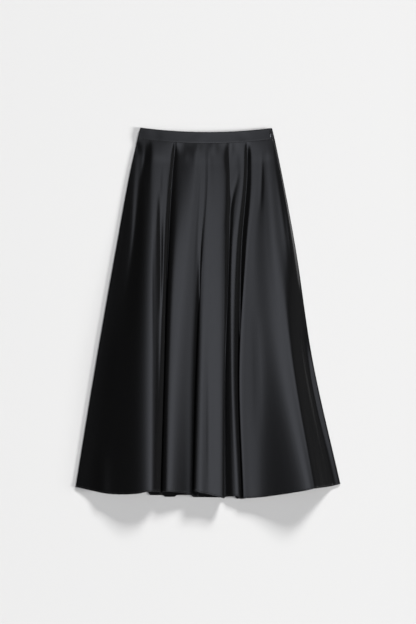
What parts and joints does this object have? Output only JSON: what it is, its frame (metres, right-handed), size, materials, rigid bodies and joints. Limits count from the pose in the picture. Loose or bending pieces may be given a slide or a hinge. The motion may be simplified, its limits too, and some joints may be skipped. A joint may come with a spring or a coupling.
{
  "type": "maxi skirt",
  "caption": "Flared satin maxi skirt laid flat, with a plain contour waistband, soft front flutes and a concealed side zip with a small pull tab.",
  "frame": {"origin": "middle of the underside, on the surface that the skirt lies on", "axes": "+Y towards the waist, +Z out of the front, +X towards the side with the zip"},
  "size_m": [0.6741, 0.9454, 0.0358],
  "materials": {
    "satin": "black satin with a soft sheen",
    "satin_band": "black satin, interfaced",
    "zip_metal": "polished"
  },
  "bodies": {
    "skirt": {"front_waistband": "satin_band", "back_waistband": "satin_band", "front_panel": "satin", "back_panel": "satin", "zip_slider": "zip_metal"},
    "pull_tab": {"zip_pull": "zip_metal"}
  },
  "joints": [
    {"name": "pull_tab_swing", "type": "hinge", "parent": "skirt", "child": "pull_tab", "pos_m": [0.1592, 0.4575, 0.00744], "axis": [-1, 0, 0], "range_deg": [0, 150]}
  ]
}
